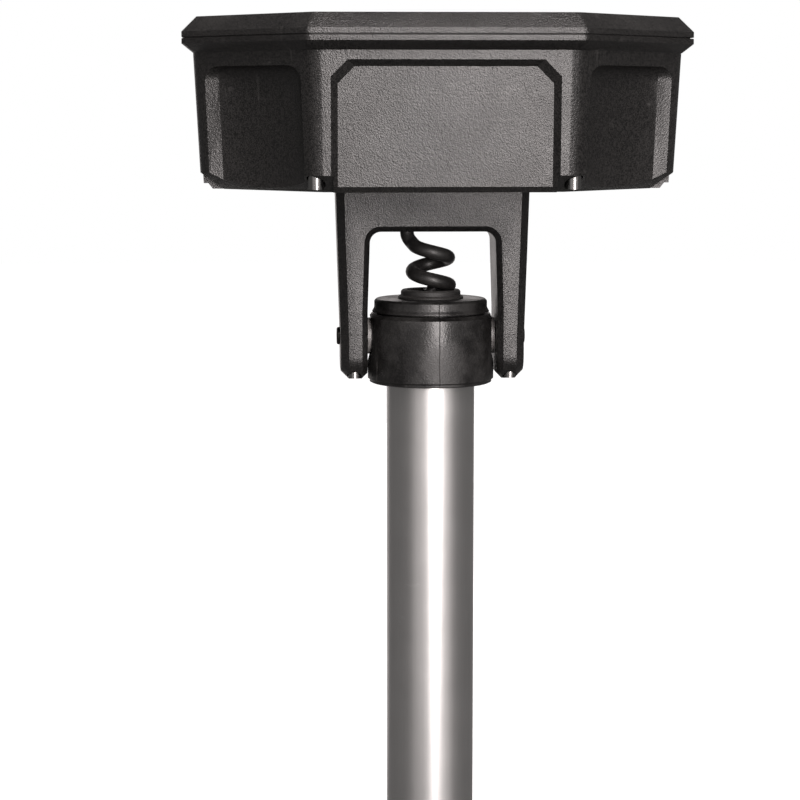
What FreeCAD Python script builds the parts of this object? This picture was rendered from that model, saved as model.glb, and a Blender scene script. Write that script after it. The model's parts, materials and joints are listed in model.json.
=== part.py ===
import FreeCAD, Part
import math
import os

# Smart GNSS antenna head on a hinged yoke at the top of a surveying pole.
# Millimetres. +Z is up along the pole, the hinge axis runs along X, the front faces -Y.
# The origin is the centre of the pole section's lower end.

# ---- driving dimensions -------------------------------------------------------------

# pole
POLE_R = 16.0
POLE_BORE_R = 14.0
POLE_BOTTOM = 3.0
POLE_TOP = 247.0
INSERT_TOP = 28.0
THREAD_R = 6.8
THREAD_DEPTH = 22.0
INSERT_SCREW_Z = 15.0

# collar and its cap
COLLAR_R = 22.9
COLLAR_BOTTOM = 225.0
COLLAR_TOP = 250.2
CAP_R = 20.5
CAP_TOP = 255.6
CAP_BORE_R = 9.5
COLLAR_SCREW_Z = 233.0

# grommet
GROMMET_FLANGE_R = 11.85
GROMMET_RING_R = 10.85
GROMMET_STEP = 256.8
GROMMET_TOP = 258.8

# hinge
PIVOT_Z = 242.0
SPOT_R = 9.5
SPOT_X = 21.6
SHOULDER_R = 3.0
RUNNING_GAP = 0.04
BUSH_R = 4.5
SCREW_HEAD_X = 33.1
SCREW_HEAD_R = 3.2
SCREW_HEAD_H = 1.1
SCREW_HEAD_ROUND = 0.7
SCREW_SOCKET_R = 1.5
SCREW_SOCKET_DEPTH = 1.4
WASHER_R = 6.6

# yoke
YOKE_TOP = 296.5
YOKE_HALF_TOP = 34.6
YOKE_HALF_LOW = 32.9
YOKE_DEPTH = 15.0
LEG_LOW = 227.0
LEG_ROUND = 9.0
LEG_INNER = 23.3
WINDOW_HALF = 22.5
WINDOW_TOP = 280.3
WINDOW_CORNER = 4.0
OUTER_BEVEL = 2.9
INNER_BEVEL = 2.0
LEG_MID_X = 28.0
LEG_POCKET_Y = -10.0
LEG_POCKET_R = 2.7
LEG_POCKET_TOP = 234.6
YOKE_SCREW_X = 27.5
YOKE_SCREW_Y = 8.0

# head outline: half width across the flats and half length of one flat, at the rim
RIM_HALF = 87.0
RIM_FLAT = 45.0
HEAD_BOTTOM = 296.5
FLOOR_TOP = 300.5
WALL_TOP = 342.5
RIM_LOW = 345.5
JOINT_LOW = 347.3
JOINT_HIGH = 347.7
RIM_HIGH = 349.5
LID_EDGE = 354.6
LID_CROWN = 356.2
WALL_INSET_TOP = 3.7
WALL_INSET_LOW = 6.0
WALL_CORNER_R = 8.0
BEVEL_CORNER_R = 5.5
RIM_CORNER_R = 3.0
CAVITY_LOW = (76.0, 33.2)
CAVITY_HIGH = (78.4, 34.2)
LID_CEILING = 352.0

# relief of the walls
PANEL_HALF = 37.4
PANEL_TOP = 339.5
PANEL_DEPTH = 2.3
PANEL_CUT = 5.5
SCOOP_SIDE = 47.2
SCOOP_DEPTH = 5.0
SCOOP_BOW = 3.0
SCOOP_TOP = 337.8
SCOOP_ROUND = 5.0
RIB_CHAMFER_IN = 7.7
RIB_CHAMFER_UP = 5.6
RIB_CHAMFER_OVERLAP = 0.8
PANEL_CHAMFER_IN = 1.5
PANEL_CHAMFER_UP = 1.9

# screws of the case
CASE_SCREW = (76.8, 42.2)
CASE_HEAD_R = 2.6
CASE_HEAD_LOW = 297.5
CASE_HEAD_TOP = 302.6
CASE_SHAFT_R = 1.75

# lead
LEAD_R = 2.5
COIL_R = 9.4
COIL_TOP = 276.5
TAIL_X = -8.6
TAIL_Y = 2.0
GLAND_LOW = 290.5

# connector at the back of the pole
PORT_Z = 45.0
SADDLE_FACE = 21.0

# inside the head
CHASSIS_LOW = 303.5
CHASSIS_TOP = 305.5
BOARD_LOW = 311.5
BOARD_TOP = 313.1
GROUND_LOW = 336.0
GROUND_TOP = 338.0
LOWER_PATCH_TOP = 343.0
UPPER_PATCH_TOP = 347.0
SPACER_POINTS = ((54.0, 46.0), (-54.0, 46.0), (-54.0, -46.0), (54.0, -46.0))
CHASSIS_POINTS = ((60.0, 28.0), (-60.0, 28.0), (-60.0, -28.0), (60.0, -28.0))
POST_POINTS = ((68.0, 20.0), (-68.0, 20.0), (-68.0, -20.0), (68.0, -20.0))

UP = FreeCAD.Vector(0, 0, 1)
RIGHT = FreeCAD.Vector(1, 0, 0)


# ---- helpers ------------------------------------------------------------------------

def vec(x, y, z):
    return FreeCAD.Vector(x, y, z)


def cyl(radius, start, end):
    """A cylinder from one point to another."""
    a = vec(*start)
    b = vec(*end)
    return Part.makeCylinder(radius, (b - a).Length, a, b - a)


def rod(radius, x, y, low, high):
    """An upright cylinder."""
    return cyl(radius, (x, y, low), (x, y, high))


def box(low, high):
    """A box between two corners."""
    size = [h - l for l, h in zip(low, high)]
    return Part.makeBox(size[0], size[1], size[2], vec(*low))


def ring(outer, inner, low, high):
    """An upright tube round the Z axis."""
    return rod(outer, 0, 0, low, high).cut(rod(inner, 0, 0, low - 1, high + 1))


def turned(profile):
    """A solid turned round the Z axis from (radius, height) points."""
    points = [vec(r, 0, z) for r, z in profile]
    wire = Part.makePolygon(points + [points[0]])
    return Part.Face(wire).revolve(vec(0, 0, 0), UP, 360)


def joined(solids):
    """One solid made of several."""
    result = solids[0]
    for extra in solids[1:]:
        result = result.fuse(extra)
    return result.removeSplitter()


def cut_all(solid, tools):
    for tool in tools:
        solid = solid.cut(tool)
    return solid


def quarter_turns(solid):
    """The solid at 0, 90, 180 and 270 degrees round Z."""
    copies = []
    for quarter in range(4):
        copy = solid.copy()
        copy.rotate(vec(0, 0, 0), UP, 90.0 * quarter)
        copies.append(copy)
    return copies


def both_sides(solid):
    """The solid and its mirror image across X = 0."""
    return [solid, solid.mirror(vec(0, 0, 0), RIGHT)]


def octagon(half, flat, z):
    """Corners of a horizontal octagon, counter-clockwise from above."""
    points = []
    for quarter in range(4):
        turn = FreeCAD.Rotation(UP, 90.0 * quarter)
        points.append(turn.multVec(vec(-flat, -half, z)))
        points.append(turn.multVec(vec(flat, -half, z)))
    return points


def rim_octagon(inset, z):
    """The head's outline moved inwards by the same amount on all eight sides."""
    return octagon(RIM_HALF - inset, RIM_FLAT - inset * math.tan(math.radians(22.5)), z)


def flat_face(points):
    return Part.Face(Part.makePolygon(points + [points[0]]))


def flat_sided(lower, upper):
    """A solid between two outlines with the same number of corners."""
    count = len(lower)
    faces = [flat_face(lower[::-1]), flat_face(upper)]
    for i in range(count):
        j = (i + 1) % count
        faces.append(flat_face([lower[i], lower[j], upper[j], upper[i]]))
    shell = Part.Shell(faces)
    shell.sewShape()
    return Part.Solid(shell)


def frustum(lower, upper, corner=0.0):
    """A solid with flat sides between two outlines, its upright edges rounded if asked."""
    solid = flat_sided(lower, upper)
    if solid.Volume < 0:
        solid = flat_sided(lower[::-1], upper[::-1])
    if corner == 0.0:
        return solid

    def upright(edge):
        ends = [v.Point for v in edge.Vertexes]
        return any(near(ends, pair) for pair in zip(lower, upper))

    return solid.makeFillet(corner, edges_where(solid, upright))


def near(ends, wanted):
    """True when two end points are the two wanted ones, in either order."""
    same = ends[0].distanceToPoint(wanted[0]) + ends[1].distanceToPoint(wanted[1])
    swapped = ends[0].distanceToPoint(wanted[1]) + ends[1].distanceToPoint(wanted[0])
    return min(same, swapped) < 0.001


def swept_lead(points, radius, bend):
    """A round lead along straight runs joined by arcs."""
    edges = []
    here = vec(*points[0])
    for i in range(1, len(points) - 1):
        corner = vec(*points[i])
        into = (corner - vec(*points[i - 1])).normalize()
        out = (vec(*points[i + 1]) - corner).normalize()
        first = corner - into * bend
        last = corner + out * bend
        centre = first + out * bend
        middle = centre + (corner - centre).normalize() * bend
        edges.append(Part.makeLine(here, first))
        edges.append(Part.Arc(first, middle, last).toShape())
        here = last
    edges.append(Part.makeLine(here, vec(*points[-1])))
    path = Part.Wire(edges)
    start = vec(*points[0])
    direction = vec(*points[1]) - start
    section = Part.Wire(Part.makeCircle(radius, start, direction))
    return path.makePipeShell([section], True, False)


def edges_where(solid, test):
    return [edge for edge in solid.Edges if test(edge)]


# ---- pole ---------------------------------------------------------------------------

def pole_tube():
    tube = ring(POLE_R, POLE_BORE_R, POLE_BOTTOM, POLE_TOP)
    tools = [cyl(5.6, (0, 10, PORT_Z), (0, 20, PORT_Z))]
    for z in (PORT_Z - 11.0, PORT_Z + 11.0):
        tools.append(cyl(1.25, (0, 10, z), (0, 20, z)))
    tools += radial_pins(1.5, 10.0, 20.0, INSERT_SCREW_Z)
    return cut_all(tube, tools)


def radial_pins(radius, start, end, z):
    """Three radial cylinders, one of them at the back."""
    pins = []
    for angle in (90, 210, 330):
        x = math.cos(math.radians(angle))
        y = math.sin(math.radians(angle))
        pins.append(cyl(radius, (start * x, start * y, z), (end * x, end * y, z)))
    return pins


def pole_end_insert():
    solid = joined([rod(POLE_R, 0, 0, 0, POLE_BOTTOM),
                    rod(POLE_BORE_R, 0, 0, POLE_BOTTOM, INSERT_TOP)])
    lower_edges = edges_where(solid, lambda e: e.BoundBox.ZMax < 0.01)
    solid = solid.makeChamfer(0.8, lower_edges)
    solid = solid.cut(rod(THREAD_R, 0, 0, -1, THREAD_DEPTH))
    return cut_all(solid, radial_pins(1.5, 9.0, 15.0, INSERT_SCREW_Z))


def end_insert_screws():
    shafts = radial_pins(1.5, 9.0, POLE_R - 0.1, INSERT_SCREW_Z)
    heads = radial_pins(2.7, POLE_R + 0.05, POLE_R + 0.9, INSERT_SCREW_Z)
    necks = radial_pins(1.5, POLE_R - 0.1, POLE_R + 0.9, INSERT_SCREW_Z)
    return [joined([s, n, h]) for s, n, h in zip(shafts, necks, heads)]


def pole_collar():
    body = turned([(POLE_R, COLLAR_BOTTOM), (COLLAR_R - 1.6, COLLAR_BOTTOM),
                   (COLLAR_R - 0.7, COLLAR_BOTTOM + 0.4), (COLLAR_R - 0.7, COLLAR_BOTTOM + 1.2),
                   (COLLAR_R, COLLAR_BOTTOM + 1.7), (COLLAR_R, COLLAR_TOP - 1.2),
                   (COLLAR_R - 1.3, COLLAR_TOP), (POLE_BORE_R, COLLAR_TOP),
                   (POLE_BORE_R, POLE_TOP), (POLE_R, POLE_TOP)])
    spot = cyl(SPOT_R, (SPOT_X, 0, PIVOT_Z), (SPOT_X + 5, 0, PIVOT_Z))
    insert = cyl(3.5, (POLE_R - 1, 0, PIVOT_Z), (SPOT_X + 1, 0, PIVOT_Z))
    tools = both_sides(spot) + both_sides(insert) + collar_screw_rods(2.0, POLE_R - 1, COLLAR_R + 1)
    return cut_all(body, tools)


def collar_screw_rods(radius, start, end):
    """Two radial cylinders at the back of the collar."""
    rods = []
    for angle in (65, 115):
        x = math.cos(math.radians(angle))
        y = math.sin(math.radians(angle))
        z = COLLAR_SCREW_Z
        rods.append(cyl(radius, (start * x, start * y, z), (end * x, end * y, z)))
    return rods


def collar_screws():
    sockets = collar_screw_rods(0.9, COLLAR_R - 2.2, COLLAR_R)
    bodies = collar_screw_rods(2.0, POLE_R + 0.3, COLLAR_R - 0.8)
    return [body.cut(socket) for body, socket in zip(bodies, sockets)]


def collar_cap():
    cap = turned([(CAP_BORE_R, POLE_TOP + 0.4), (POLE_BORE_R - 0.1, POLE_TOP + 0.4),
                  (POLE_BORE_R - 0.1, COLLAR_TOP), (CAP_R - 0.7, COLLAR_TOP),
                  (CAP_R - 0.7, COLLAR_TOP + 0.6), (CAP_R + 0.9, COLLAR_TOP + 0.6),
                  (CAP_R, COLLAR_TOP + 2.2), (CAP_R, CAP_TOP - 0.8),
                  (CAP_R - 0.8, CAP_TOP), (CAP_BORE_R, CAP_TOP)])
    return cap


def cable_grommet():
    lip = 0.6
    return turned([(LEAD_R, COLLAR_TOP), (CAP_BORE_R, COLLAR_TOP), (CAP_BORE_R, CAP_TOP),
                   (GROMMET_FLANGE_R, CAP_TOP), (GROMMET_FLANGE_R, GROMMET_STEP - lip),
                   (GROMMET_FLANGE_R - lip, GROMMET_STEP), (GROMMET_RING_R, GROMMET_STEP),
                   (GROMMET_RING_R, GROMMET_TOP - lip), (GROMMET_RING_R - lip, GROMMET_TOP),
                   (GROMMET_RING_R - 2.0, GROMMET_TOP), (GROMMET_RING_R - 2.6, GROMMET_TOP - 1.4),
                   (LEAD_R, GROMMET_TOP - 1.4)])


# ---- hinge --------------------------------------------------------------------------

def pivot_inserts():
    outer = cyl(3.5, (POLE_R + 0.1, 0, PIVOT_Z), (SPOT_X, 0, PIVOT_Z))
    bore = cyl(2.5, (POLE_R - 1, 0, PIVOT_Z), (SPOT_X + 1, 0, PIVOT_Z))
    return both_sides(outer.cut(bore))


def pivot_screws():
    thread = cyl(2.5, (POLE_R + 0.6, 0, PIVOT_Z), (SPOT_X, 0, PIVOT_Z))
    shoulder = cyl(SHOULDER_R, (SPOT_X, 0, PIVOT_Z), (SCREW_HEAD_X, 0, PIVOT_Z))
    head_end = SCREW_HEAD_X + SCREW_HEAD_H
    head = cyl(SCREW_HEAD_R, (SCREW_HEAD_X, 0, PIVOT_Z), (head_end, 0, PIVOT_Z))
    rim = edges_where(head, lambda e: e.BoundBox.XMin > head_end - 0.01)
    head = head.makeFillet(SCREW_HEAD_ROUND, rim)
    socket = cyl(SCREW_SOCKET_R, (head_end - SCREW_SOCKET_DEPTH, 0, PIVOT_Z),
                 (head_end + 1, 0, PIVOT_Z))
    return both_sides(joined([thread, shoulder, head]).cut(socket))


def pivot_bushes():
    outer_face = YOKE_HALF_LOW + 0.1
    outer = cyl(BUSH_R, (LEG_INNER, 0, PIVOT_Z), (outer_face, 0, PIVOT_Z))
    bore = cyl(SHOULDER_R + RUNNING_GAP, (SPOT_X, 0, PIVOT_Z), (SCREW_HEAD_X, 0, PIVOT_Z))
    return both_sides(outer.cut(bore))


def friction_washers():
    outer = cyl(WASHER_R, (SPOT_X, 0, PIVOT_Z), (LEG_INNER - 0.3, 0, PIVOT_Z))
    bore = cyl(SHOULDER_R, (SPOT_X - 1, 0, PIVOT_Z), (LEG_INNER, 0, PIVOT_Z))
    return both_sides(outer.cut(bore))


# ---- yoke ---------------------------------------------------------------------------

def yoke_front_face():
    """Outline of bridge and legs seen from the front, with the window between the legs."""
    low = LEG_LOW - 1.0
    side = WINDOW_HALF
    arc_z = WINDOW_TOP - WINDOW_CORNER
    arc_x = side - WINDOW_CORNER
    diagonal = WINDOW_CORNER * math.sin(math.radians(45))
    right = [Part.makeLine(vec(0, 0, YOKE_TOP), vec(YOKE_HALF_TOP, 0, YOKE_TOP)),
             Part.makeLine(vec(YOKE_HALF_TOP, 0, YOKE_TOP), vec(YOKE_HALF_LOW, 0, PIVOT_Z)),
             Part.makeLine(vec(YOKE_HALF_LOW, 0, PIVOT_Z), vec(YOKE_HALF_LOW, 0, low)),
             Part.makeLine(vec(YOKE_HALF_LOW, 0, low), vec(LEG_INNER, 0, low)),
             Part.makeLine(vec(LEG_INNER, 0, low), vec(LEG_INNER, 0, COLLAR_TOP + 1.5)),
             Part.makeLine(vec(LEG_INNER, 0, COLLAR_TOP + 1.5), vec(side, 0, arc_z)),
             Part.Arc(vec(side, 0, arc_z), vec(arc_x + diagonal, 0, arc_z + diagonal),
                      vec(arc_x, 0, WINDOW_TOP)).toShape(),
             Part.makeLine(vec(arc_x, 0, WINDOW_TOP), vec(0, 0, WINDOW_TOP))]
    left = [edge.mirror(vec(0, 0, 0), RIGHT) for edge in right]
    wire = Part.Wire(Part.__sortEdges__(right + left))
    return Part.Face(wire)


def yoke_side_view():
    """The yoke's side outline as a solid: straight front and back, and rounded toes."""
    reach = YOKE_HALF_TOP + 1.0
    flat = YOKE_DEPTH - LEG_ROUND
    start = LEG_LOW + LEG_ROUND
    upper = box((-reach, -YOKE_DEPTH, start), (reach, YOKE_DEPTH, YOKE_TOP))
    toe = box((-reach, -flat, LEG_LOW), (reach, flat, start))
    rounds = [cyl(LEG_ROUND, (-reach, y, start), (reach, y, start)) for y in (-flat, flat)]
    return joined([upper, toe] + rounds)


def yoke_blank():
    """The front outline given its depth, with the leg ends cut to the side outline."""
    face = yoke_front_face()
    face.translate(vec(0, -YOKE_DEPTH, 0))
    solid = face.extrude(vec(0, 2 * YOKE_DEPTH, 0))
    return solid.common(yoke_side_view()).removeSplitter()


def on_yoke_face(edge):
    """True for an edge on the side outline: front, back, or round the toe of a leg."""
    first, last = edge.ParameterRange
    for i in range(5):
        point = edge.valueAt(first + (last - first) * i / 4.0)
        beside = abs(point.y) - (YOKE_DEPTH - LEG_ROUND)
        below = LEG_LOW + LEG_ROUND - point.z
        if below <= 0.0:
            gap = beside - LEG_ROUND
        elif beside <= 0.0:
            gap = below - LEG_ROUND
        else:
            gap = math.hypot(beside, below) - LEG_ROUND
        if abs(gap) > 0.01:
            return False
    return True


def yoke():
    solid = yoke_blank()

    def outer(edge):
        middle = edge.BoundBox.Center
        return on_yoke_face(edge) and abs(middle.x) > YOKE_HALF_LOW - 0.5 and \
            edge.BoundBox.ZMin < YOKE_TOP - 1.0

    def inner(edge):
        middle = edge.BoundBox.Center
        return on_yoke_face(edge) and abs(middle.x) < LEG_INNER + 0.5 and \
            edge.BoundBox.ZMax < WINDOW_TOP + 0.1

    solid = solid.makeChamfer(OUTER_BEVEL, edges_where(solid, outer))
    solid = solid.makeChamfer(INNER_BEVEL, edges_where(solid, inner))
    tools = [box((-19, -11, WINDOW_TOP + 3.6), (19, 11, YOKE_TOP + 1)),
             rod(3.2, TAIL_X, TAIL_Y, WINDOW_TOP - 1, WINDOW_TOP + 5)]
    for side in (-1, 1):
        x = side * LEG_MID_X
        pivot_bore = cyl(BUSH_R, (side * (LEG_INNER - 2), 0, PIVOT_Z),
                         (side * (YOKE_HALF_LOW + 2), 0, PIVOT_Z))
        tools.append(pivot_bore)
        tools.append(rod(LEG_POCKET_R, x, LEG_POCKET_Y, LEG_LOW - 2, LEG_POCKET_TOP))
        tools.append(rod(1.5, x, LEG_POCKET_Y, LEG_POCKET_TOP - 1, LEG_POCKET_TOP + 4))
        for y in (-YOKE_SCREW_Y, YOKE_SCREW_Y):
            tools.append(rod(2.0, side * YOKE_SCREW_X, y, 281.0, YOKE_TOP + 1))
    return cut_all(solid, tools)


def leg_screws():
    x = LEG_MID_X
    head = rod(2.2, x, LEG_POCKET_Y, LEG_POCKET_TOP - 3.9, LEG_POCKET_TOP)
    socket = rod(1.0, x, LEG_POCKET_Y, LEG_POCKET_TOP - 5, LEG_POCKET_TOP - 2.4)
    thread = rod(1.5, x, LEG_POCKET_Y, LEG_POCKET_TOP, LEG_POCKET_TOP + 3.8)
    return both_sides(joined([head, thread]).cut(socket))


def yoke_screws():
    screws = []
    for x in (-YOKE_SCREW_X, YOKE_SCREW_X):
        for y in (-YOKE_SCREW_Y, YOKE_SCREW_Y):
            head = rod(3.6, x, y, CHASSIS_TOP, CHASSIS_TOP + 3.4)
            socket = rod(1.6, x, y, CHASSIS_TOP + 1.4, CHASSIS_TOP + 4)
            shaft = rod(2.0, x, y, 282.0, CHASSIS_TOP)
            screws.append(joined([shaft, head]).cut(socket))
    return screws


# ---- housing and cover --------------------------------------------------------------

def housing_blank():
    wall = frustum(rim_octagon(WALL_INSET_LOW, HEAD_BOTTOM),
                   rim_octagon(WALL_INSET_TOP, WALL_TOP), WALL_CORNER_R)
    bevel = frustum(rim_octagon(WALL_INSET_TOP, WALL_TOP), rim_octagon(0.0, RIM_LOW),
                    BEVEL_CORNER_R)
    rim = frustum(rim_octagon(0.0, RIM_LOW), rim_octagon(0.0, JOINT_LOW), RIM_CORNER_R)
    return wall.fuse(bevel).fuse(rim)


def panel_cutter():
    """The recess of the front panel: a shallow tray with 45 degree sides and cut corners."""
    draft = math.degrees(math.atan2(WALL_INSET_LOW - WALL_INSET_TOP, WALL_TOP - HEAD_BOTTOM))
    below = HEAD_BOTTOM - 12.0

    def outline(shrink, depth):
        half = PANEL_HALF - shrink
        top = PANEL_TOP - shrink
        cut = PANEL_CUT
        return [vec(-half, depth, below), vec(half, depth, below), vec(half, depth, top - cut),
                vec(half - cut, depth, top), vec(cut - half, depth, top),
                vec(-half, depth, top - cut)]

    cutter = frustum(outline(-3.0, -3.0), outline(PANEL_DEPTH, PANEL_DEPTH))
    cutter.translate(vec(0, WALL_INSET_TOP - RIM_HALF, 0))
    cutter.rotate(vec(0, WALL_INSET_TOP - RIM_HALF, WALL_TOP), RIGHT, draft)
    return cutter


def scoop_cutter():
    """One corner scoop that follows the draft of the wall, with a rounded ceiling.

    In plan its floor is bowed inwards between two faces parallel to the neighbouring flats.
    """
    far = RIM_HALF + 20.0
    z = SCOOP_TOP
    deep = RIM_HALF + RIM_FLAT - WALL_INSET_TOP * math.sqrt(2) - SCOOP_SIDE - SCOOP_DEPTH
    middle = (SCOOP_SIDE + deep) / 2.0 - SCOOP_BOW / math.sqrt(2)
    floor = Part.Arc(vec(SCOOP_SIDE, -deep, z), vec(middle, -middle, z),
                     vec(deep, -SCOOP_SIDE, z)).toShape()
    corners = [vec(deep, -SCOOP_SIDE, z), vec(far, -SCOOP_SIDE, z), vec(far, -far, z),
               vec(SCOOP_SIDE, -far, z), vec(SCOOP_SIDE, -deep, z)]
    lines = [Part.makeLine(corners[i], corners[i + 1]) for i in range(4)]
    height = SCOOP_TOP - HEAD_BOTTOM + 2.0
    slope = (WALL_INSET_LOW - WALL_INSET_TOP) / (WALL_TOP - HEAD_BOTTOM) / math.sqrt(2)
    fall = vec(-slope * height, slope * height, -height)
    cutter = Part.Face(Part.Wire([floor] + lines)).extrude(fall)

    def ceiling(edge):
        middle_point = edge.BoundBox.Center
        inboard = middle_point.x < far - 5.0 and middle_point.y > 5.0 - far
        return edge.BoundBox.ZMin > SCOOP_TOP - 0.01 and inboard

    return cutter.makeFillet(SCOOP_ROUND, edges_where(cutter, ceiling))


def lower_edge_cutter(inset, inward, up):
    """What a chamfer round the lower edge of a wall takes away."""
    low = HEAD_BOTTOM - 0.5
    high = HEAD_BOTTOM + up
    slope = inward / up
    outside = frustum(rim_octagon(-10.0, low), rim_octagon(-10.0, high))
    kept = frustum(rim_octagon(inset + inward + 0.5 * slope, low - 0.01),
                   rim_octagon(inset - 0.01 * slope, high + 0.01))
    return outside.cut(kept)


def rib_chamfer_cutter():
    """The deep chamfer under the ribs, which leaves the four panels alone."""
    cutter = lower_edge_cutter(WALL_INSET_LOW, RIB_CHAMFER_IN, RIB_CHAMFER_UP)
    half = PANEL_HALF - RIB_CHAMFER_OVERLAP
    guard = box((-half, -120, HEAD_BOTTOM - 2), (half, -60, HEAD_BOTTOM + RIB_CHAMFER_UP + 1))
    return cut_all(cutter, quarter_turns(guard))


def panel_chamfer_cutter():
    """The small chamfer under the four panels."""
    return lower_edge_cutter(WALL_INSET_LOW + PANEL_DEPTH, PANEL_CHAMFER_IN, PANEL_CHAMFER_UP)


def case_screw_rods(radius, low, high):
    """Four upright cylinders, two behind the front flat and two behind the back one."""
    rods = []
    for y in (-CASE_SCREW[0], CASE_SCREW[0]):
        rods += [rod(radius, x, y, low, high) for x in (-CASE_SCREW[1], CASE_SCREW[1])]
    return rods


def housing():
    solid = housing_blank()
    tools = quarter_turns(panel_cutter()) + quarter_turns(scoop_cutter())
    tools += [rib_chamfer_cutter(), panel_chamfer_cutter()]
    tools.append(frustum(octagon(CAVITY_LOW[0], CAVITY_LOW[1], FLOOR_TOP),
                         octagon(CAVITY_HIGH[0], CAVITY_HIGH[1], JOINT_LOW + 1), RIM_CORNER_R))
    tools += case_screw_rods(CASE_HEAD_R + 0.5, HEAD_BOTTOM - 1, CASE_HEAD_TOP)
    tools += case_screw_rods(CASE_SHAFT_R + 0.25, HEAD_BOTTOM, JOINT_LOW + 1)
    solid = cut_all(solid, tools)
    bosses = [rod(5.5, x, y, FLOOR_TOP - 1, CHASSIS_LOW) for x, y in CHASSIS_POINTS]
    for x in (-YOKE_SCREW_X, YOKE_SCREW_X):
        for y in (-YOKE_SCREW_Y, YOKE_SCREW_Y):
            bosses.append(rod(5.5, x, y, FLOOR_TOP - 1, CHASSIS_LOW))
    solid = joined([solid] + bosses)
    holes = [rod(1.5, x, y, FLOOR_TOP - 1, CHASSIS_LOW + 1) for x, y in CHASSIS_POINTS]
    holes += [rod(1.5, x, y, FLOOR_TOP - 2, FLOOR_TOP + 1) for x, y in POST_POINTS]
    for x in (-YOKE_SCREW_X, YOKE_SCREW_X):
        for y in (-YOKE_SCREW_Y, YOKE_SCREW_Y):
            holes.append(rod(2.0, x, y, HEAD_BOTTOM - 1, CHASSIS_LOW + 1))
    holes.append(rod(5.0, TAIL_X, TAIL_Y, HEAD_BOTTOM - 1, FLOOR_TOP + 1))
    holes.append(rod(3.0, 0, 45, HEAD_BOTTOM - 1, FLOOR_TOP + 1))
    return cut_all(solid, holes)


def lid_gasket():
    outer = frustum(rim_octagon(1.2, JOINT_LOW), rim_octagon(1.2, JOINT_HIGH), RIM_CORNER_R)
    inner = frustum(rim_octagon(4.0, JOINT_LOW - 1), rim_octagon(4.0, JOINT_HIGH + 1),
                    RIM_CORNER_R)
    return outer.cut(inner)


def top_cover():
    rim = frustum(rim_octagon(0.0, JOINT_HIGH), rim_octagon(0.0, RIM_HIGH), RIM_CORNER_R)
    edge = frustum(rim_octagon(0.0, RIM_HIGH), rim_octagon(5.0, LID_EDGE), RIM_CORNER_R)
    crown = frustum(rim_octagon(5.0, LID_EDGE), rim_octagon(48.0, LID_CROWN))
    crown = crown.common(frustum(rim_octagon(5.0, LID_EDGE), rim_octagon(5.0, LID_CROWN),
                                 RIM_CORNER_R))
    solid = rim.fuse(edge).fuse(crown)
    cavity = frustum(octagon(CAVITY_HIGH[0], CAVITY_HIGH[1], JOINT_HIGH - 1),
                     octagon(CAVITY_HIGH[0], CAVITY_HIGH[1], LID_CEILING), RIM_CORNER_R)
    solid = solid.cut(cavity)
    return cut_all(solid, case_screw_rods(3.0, JOINT_HIGH - 1, 351.6))


def lid_inserts():
    outers = case_screw_rods(3.0, JOINT_HIGH, 351.6)
    bores = case_screw_rods(CASE_SHAFT_R, JOINT_HIGH - 1, 352.6)
    return [outer.cut(bore) for outer, bore in zip(outers, bores)]


def case_screws():
    heads = case_screw_rods(CASE_HEAD_R, CASE_HEAD_LOW, CASE_HEAD_TOP)
    sockets = case_screw_rods(1.3, CASE_HEAD_LOW - 1, CASE_HEAD_LOW + 2.0)
    shafts = case_screw_rods(CASE_SHAFT_R, CASE_HEAD_TOP, 351.0)
    return [joined([h, s]).cut(k) for h, s, k in zip(heads, shafts, sockets)]


def vent_plug():
    disc = rod(6.0, 0, 45, HEAD_BOTTOM - 1.2, HEAD_BOTTOM)
    rim = edges_where(disc, lambda e: e.BoundBox.ZMax < HEAD_BOTTOM - 1.1)
    return joined([disc.makeFillet(0.6, rim), rod(3.0, 0, 45, HEAD_BOTTOM, FLOOR_TOP + 1.0)])


# ---- lead ---------------------------------------------------------------------------

def pole_cable():
    points = ((0, 0, GROMMET_TOP), (0, 0, PORT_Z), (0, 13.0, PORT_Z))
    return swept_lead(points, LEAD_R, 9.0)


def coiled_cable():
    return rod(COIL_R, 0, 0, GROMMET_TOP, COIL_TOP)


def cable_tail():
    return rod(LEAD_R, TAIL_X, TAIL_Y, COIL_TOP, GLAND_LOW)


def cable_gland():
    hexagon = Part.makePolygon([vec(TAIL_X + 8.0 * math.cos(math.radians(60 * i)),
                                    TAIL_Y + 8.0 * math.sin(math.radians(60 * i)),
                                    GLAND_LOW + 1.5) for i in range(7)])
    nut = Part.Face(hexagon).extrude(vec(0, 0, HEAD_BOTTOM - GLAND_LOW - 1.5))
    nose = rod(5.5, TAIL_X, TAIL_Y, GLAND_LOW, GLAND_LOW + 1.5)
    thread = rod(5.0, TAIL_X, TAIL_Y, HEAD_BOTTOM, FLOOR_TOP + 3.2)
    bore = rod(LEAD_R, TAIL_X, TAIL_Y, GLAND_LOW - 1, FLOOR_TOP + 4)
    return joined([nut, nose, thread]).cut(bore)


def gland_nut():
    outer = rod(7.6, TAIL_X, TAIL_Y, FLOOR_TOP, FLOOR_TOP + 2.6)
    return outer.cut(rod(5.0, TAIL_X, TAIL_Y, FLOOR_TOP - 1, FLOOR_TOP + 4))


def inner_lead():
    turn = BOARD_TOP + 6.9
    points = ((TAIL_X, TAIL_Y, GLAND_LOW), (TAIL_X, TAIL_Y, turn), (TAIL_X, -24.0, turn))
    return swept_lead(points, LEAD_R, 8.0)


def lead_plug():
    z = BOARD_TOP + 4.0
    return box((TAIL_X - 7, -37, z), (TAIL_X + 7, -24, z + 6.0))


# ---- connector at the back of the pole ----------------------------------------------

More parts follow.
